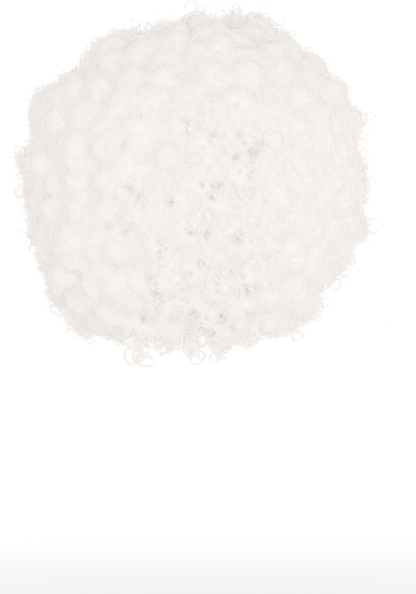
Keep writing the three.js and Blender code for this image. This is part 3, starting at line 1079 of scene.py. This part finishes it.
# ---------------------------------------------------------------- the nape locks
# Loops that show: place across and up, half-width, half-height, tilt in degrees, strands.
LOOPS = {
    "nape_lock_left": [
        (37.8, -126.6, 8.0, 5.0, 14, 4),
        (49.0, -122.5, 6.8, 7.0, 0, 5),
        (44.0, -122.0, 4.0, 7.0, 10, 5),
        (50.5, -109.0, 5.4, 5.6, 0, 4),
        (39.0, -116.5, 4.2, 4.8, -10, 4),
        (44.0, -106.0, 5.0, 6.0, 0, 5),
        (36.5, -105.0, 4.5, 7.0, 20, 4),
        (49.0, -98.0, 6.0, 5.0, 0, 5),
        (39.0, -97.0, 6.0, 5.5, 0, 5),
    ],
    "nape_lock_mid_left": [
        (28.0, -112.0, 4.0, 6.0, -15, 4),
        (22.5, -115.0, 3.8, 6.0, 20, 4),
        (16.8, -114.0, 3.4, 6.8, 25, 4),
        (26.0, -104.0, 5.0, 5.0, 0, 5),
        (18.0, -105.0, 4.6, 5.4, 0, 5),
        (22.0, -98.0, 5.6, 4.6, 0, 6),
    ],
    "nape_lock_centre": [
        (-5.2, -123.4, 6.8, 6.2, -15, 5),
        (0.8, -117.0, 5.0, 6.4, 15, 5),
        (-9.4, -119.0, 4.0, 6.6, -10, 5),
        (-3.6, -113.0, 5.6, 5.0, 0, 6),
        (3.6, -108.0, 4.6, 6.0, 10, 6),
        (-9.0, -109.0, 4.6, 5.4, 0, 6),
        (-2.6, -104.0, 5.6, 5.0, 0, 6),
        (5.4, -99.0, 5.0, 5.0, 0, 6),
        (-5.8, -97.5, 6.0, 5.0, 0, 6),
    ],
    "nape_lock_mid_right": [
        (-21.0, -121.0, 4.0, 9.0, 35, 4),
        (-25.5, -117.5, 7.0, 4.6, -25, 4),
        (-29.0, -113.0, 4.6, 6.4, -10, 5),
        (-19.0, -111.5, 5.0, 6.0, 15, 6),
        (-25.0, -106.0, 5.8, 5.4, 0, 6),
        (-17.0, -103.0, 5.0, 5.4, 0, 6),
        (-29.0, -100.5, 5.0, 5.0, 0, 6),
        (-21.5, -97.0, 6.0, 4.6, 0, 6),
    ],
    "nape_lock_right": [
        (-47.6, -106.6, 8.4, 8.2, 0, 6),
        (-45.6, -108.0, 6.0, 6.0, 0, 6),
        (-51.4, -104.0, 4.8, 6.4, -20, 6),
        (-40.6, -104.0, 4.4, 6.4, 20, 6),
        (-46.0, -102.0, 4.6, 5.0, 0, 6),
        (-50.0, -98.0, 5.4, 5.0, 0, 6),
        (-41.0, -98.0, 5.4, 5.0, 0, 6),
    ],
}


def lock_loops(rows, y, deep):
    """Strands of the loops in rows, which face the back and hang round the depth y."""
    out = []
    for x, z, wide, high, tilt, strands in rows:
        k, m = strands, 20
        s = np.linspace(0, 1, m)[None, :]
        turns = rng.uniform(1.0, 1.5, (k, 1))
        way = rng.choice([-1, 1])
        ang = rng.uniform(0, 6.28) + rng.normal(0, 0.5, (k, 1)) + way * 2 * math.pi * turns * s
        grow = rng.normal(0.96, 0.07, (k, 1)) * (1 + 0.05 * np.sin(3 * ang + rng.uniform(0, 6.28)))
        a = wide * grow * np.cos(ang) + rng.normal(0, 0.4, (k, 1))
        b = high * grow * np.sin(ang) + rng.normal(0, 0.4, (k, 1))
        t = math.radians(tilt)
        lean = rng.normal(0, 0.35)
        q = np.stack(
            [
                x + a * math.cos(t) - b * math.sin(t),
                y + a * lean + (s - 0.5) * rng.uniform(2, 6, (k, 1)) + rng.uniform(-1, 1) * deep * 0.45,
                z + a * math.sin(t) + b * math.cos(t),
            ],
            -1,
        )
        out.append(tubes(q, np.full((k, m), 0.6) * rng.uniform(0.65, 1.25, (k, 1))))
    return out


for name, rows in LOOPS.items():
    lo, hi = (np.array(c) * 1000 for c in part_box(name))
    mid, half = (lo + hi) / 2, (hi - lo) / 2
    parts = lock_loops(rows, mid[1], half[1])
    # finer curls behind them fill the thick part of the lock
    k = 5 if name == "nape_lock_left" else 12
    at = np.stack(
        [
            mid[0] + rng.uniform(-0.75, 0.75, k) * half[0],
            mid[1] + rng.uniform(-0.7, 0.2, k) * half[1],
            rng.uniform(lo[2] + 0.35 * (hi[2] - lo[2]), hi[2], k),
        ],
        1,
    )
    out = unit_rows(np.array([0, 1.0, -0.3]) + rng.normal(0, 0.35, (k, 3)))
    parts.append(tubes(*windings(at, out, rng.uniform(3.5, 5.5, k), 6, 14, 0.4)))
    o, tris = strands_object(name + "_curls", parts, fibre)
    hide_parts(name)
    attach(o, "root")
    print(name, tris)

# ---------------------------------------------------------------- the cap
# Stretch net, 1 mm thick, in the middle of the CAD cap's wall, with a turned hem.
CLOTH_IN, CLOTH_OUT, HEM = 0.45, 1.45, 7.0  # sides of the cloth past the head, and the hem's width, in mm
CAP_ARC = 118.0 * math.radians(105)  # crown to edge over the cap
COLUMNS = 96
around = np.arange(COLUMNS) * 2 * math.pi / COLUMNS - math.pi


def cap_ring(t, out):
    """A ring of points round the cap, t of the way from the crown to the edge, out mm past the head."""
    d = direction(np.radians(edge(1, around)) * t, around)
    return d * (head_radius(d) + out)[:, None]


def ring_faces(count, closed, off=0):
    """Quads between count rings of COLUMNS points."""
    i, j = np.meshgrid(np.arange(count if closed else count - 1), np.arange(COLUMNS), indexing="ij")
    i2, j2 = (i + 1) % count, (j + 1) % COLUMNS
    return off + np.stack([i * COLUMNS + j, i * COLUMNS + j2, i2 * COLUMNS + j2, i2 * COLUMNS + j], -1).reshape(-1, 4)


hem_from = 1 - HEM / CAP_ARC
run = np.concatenate([np.linspace(0.02, hem_from, 42), [hem_from + 0.007, 0.975, 0.992]])
hem = np.where(run > hem_from + 0.003, 0.35, 0.0)
rings = [cap_ring(t, CLOTH_OUT + h) for t, h in zip(run, hem)]
rings += [cap_ring(1.0, CLOTH_OUT), cap_ring(1.0, CLOTH_IN)]
rings += [cap_ring(t, CLOTH_IN - h) for t, h in zip(run[::-1], hem[::-1])]
m = len(rings)
verts = np.concatenate([*rings, rings[0].mean(0)[None], rings[-1].mean(0)[None]])
quads = ring_faces(m, False)
j, j2 = np.arange(COLUMNS), (np.arange(COLUMNS) + 1) % COLUMNS
outer_tip = np.stack([np.full(COLUMNS, m * COLUMNS), j2, j], 1)
inner_tip = np.stack([np.full(COLUMNS, m * COLUMNS + 1), (m - 1) * COLUMNS + j, (m - 1) * COLUMNS + j2], 1)
totals = np.concatenate([np.full(len(quads), 4), np.full(2 * COLUMNS, 3)])
cap_o = new_object(
    "cap_net_cloth",
    verts / 1000,
    np.concatenate([quads.ravel(), outer_tip.ravel(), inner_tip.ravel()]),
    np.concatenate([[0], np.cumsum(totals)[:-1]]),
    totals,
)

# The rows of fibre are sewn on along narrow bands, which show inside as low ribs.
BAND, ROW_EVERY = 2.6, 12.0
band_v, band_f = [], []
for row_at in np.arange(ROW_EVERY, CAP_ARC - HEM - 3, ROW_EVERY):
    at, dt = row_at / CAP_ARC, BAND / 2 / CAP_ARC
    section = [(-1, 0.1), (-0.7, -0.36), (0.7, -0.36), (1, 0.1)]
    band_f.append(ring_faces(4, True, sum(len(v) for v in band_v)))
    band_v.append(np.concatenate([cap_ring(at + k * dt, CLOTH_IN + h) for k, h in section]))
band_f = np.concatenate(band_f)
band_o = new_object(
    "cap_sewn_rows",
    np.concatenate(band_v) / 1000,
    band_f.ravel(),
    np.arange(len(band_f)) * 4,
    np.full(len(band_f), 4),
)
print("cap", int((totals - 2).sum()), "bands", 2 * len(band_f))

cap_mat, nt, b = principled("cap_net", 0.85, sheen=0.2)
co = node(nt, "ShaderNodeTexCoord", (-2000, 0))
# stretch net of small holes, pulled wider here and there
pull = node(nt, "ShaderNodeTexNoise", (-1800, 200), Scale=60.0, Detail=1.0)
net = node(nt, "ShaderNodeTexVoronoi", (-1400, -100), Scale=430.0, Randomness=0.55)
net.feature = "DISTANCE_TO_EDGE"
yarn = node(nt, "ShaderNodeTexNoise", (-1400, -350), Scale=900.0, Detail=2.0)
for n in (pull, net, yarn):
    nt.links.new(co.outputs["Object"], n.inputs["Vector"])
hole = node(nt, "ShaderNodeMapRange", (-1150, -100))
hole.interpolation_type = "SMOOTHSTEP"
hole.inputs["From Min"].default_value, hole.inputs["From Max"].default_value = 0.1, 0.26
nt.links.new(net.outputs["Distance"], hole.inputs["Value"])
wider = maths(nt, "MULTIPLY_ADD", (-1100, 200), pull.outputs["Fac"], 0.6, 0.6)
cloth = ramp_of(nt, (0.86, 0.835, 0.8), (0.5, 0.47, 0.44), 0.0, 1.0, (-700, 0))
nt.links.new(maths(nt, "MULTIPLY", (-900, 0), hole.outputs["Result"], wider), cloth.inputs["Fac"])
nt.links.new(cloth.outputs["Color"], b.inputs["Base Color"])
yarn_up = maths(nt, "MULTIPLY", (-950, -450), yarn.outputs["Fac"], 0.5)
relief = maths(nt, "MULTIPLY_ADD", (-750, -400), hole.outputs["Result"], -1.0, yarn_up)
bp = node(nt, "ShaderNodeBump", (-300, -200), Strength=1.0, Distance=0.0006)
nt.links.new(relief, bp.inputs["Height"])
nt.links.new(bp.outputs["Normal"], b.inputs["Normal"])

sewn_mat, nt, b = principled("cap_sewn_rows", 0.7)
co = node(nt, "ShaderNodeTexCoord", (-1400, 0))
stitch = node(nt, "ShaderNodeTexNoise", (-1100, 0), Scale=650.0, Detail=3.0)
wrap = node(nt, "ShaderNodeTexVoronoi", (-1100, -250), Scale=800.0)
for n in (stitch, wrap):
    nt.links.new(co.outputs["Object"], n.inputs["Vector"])
tint = ramp_of(nt, (0.78, 0.76, 0.73), (0.95, 0.94, 0.92), 0.3, 0.7, (-700, 100))
nt.links.new(stitch.outputs["Fac"], tint.inputs["Fac"])
nt.links.new(tint.outputs["Color"], b.inputs["Base Color"])
bp = node(nt, "ShaderNodeBump", (-300, -200), Strength=0.8, Distance=0.0005)
nt.links.new(wrap.outputs["Distance"], bp.inputs["Height"])
nt.links.new(bp.outputs["Normal"], b.inputs["Normal"])

cap_o.data.materials.append(cap_mat)
band_o.data.materials.append(sewn_mat)
for o in (cap_o, band_o):
    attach(o, "root")
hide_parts("wig_cap")

# ---------------------------------------------------------------- floor
floor_mesh = bpy.data.meshes.new("floor")
R = 9.0
floor_mesh.from_pydata(
    [(R * math.cos(a * math.pi / 32), R * math.sin(a * math.pi / 32), -0.34) for a in range(64)],
    [],
    [list(range(64))],
)
floor = bpy.data.objects.new("floor", floor_mesh)
scene.collection.objects.link(floor)
floor_mat = bpy.data.materials.new("floor")
floor_mat.use_nodes = True
fn = floor_mat.node_tree
fb = fn.nodes["Principled BSDF"]
fb.inputs["Base Color"].default_value = (0.72, 0.77, 0.82, 1)
fb.inputs["Roughness"].default_value = 0.9
# the floor runs out into the white of the backdrop
co = node(fn, "ShaderNodeTexCoord", (-1100, -300))
length = node(fn, "ShaderNodeVectorMath", (-900, -300))
length.operation = "LENGTH"
fade = node(fn, "ShaderNodeMapRange", (-700, -300))
fade.interpolation_type = "SMOOTHSTEP"
fade.inputs["From Min"].default_value, fade.inputs["From Max"].default_value = 0.15, 1.6
fade.inputs["To Min"].default_value, fade.inputs["To Max"].default_value = 0.0, 1.0
fn.links.new(co.outputs["Object"], length.inputs[0])
fn.links.new(length.outputs["Value"], fade.inputs["Value"])
glow = node(fn, "ShaderNodeEmission", (-300, -300), Strength=BACKDROP)
far = node(fn, "ShaderNodeMixShader", (-100, -200))
fn.links.new(fade.outputs["Result"], far.inputs[0])
fn.links.new(fb.outputs[0], far.inputs[1])
fn.links.new(glow.outputs[0], far.inputs[2])
fn.links.new(
    seen_by_camera(fn, far, fb, (100, 0)).outputs[0], fn.nodes["Material Output"].inputs["Surface"]
)
floor.data.materials.append(floor_mat)
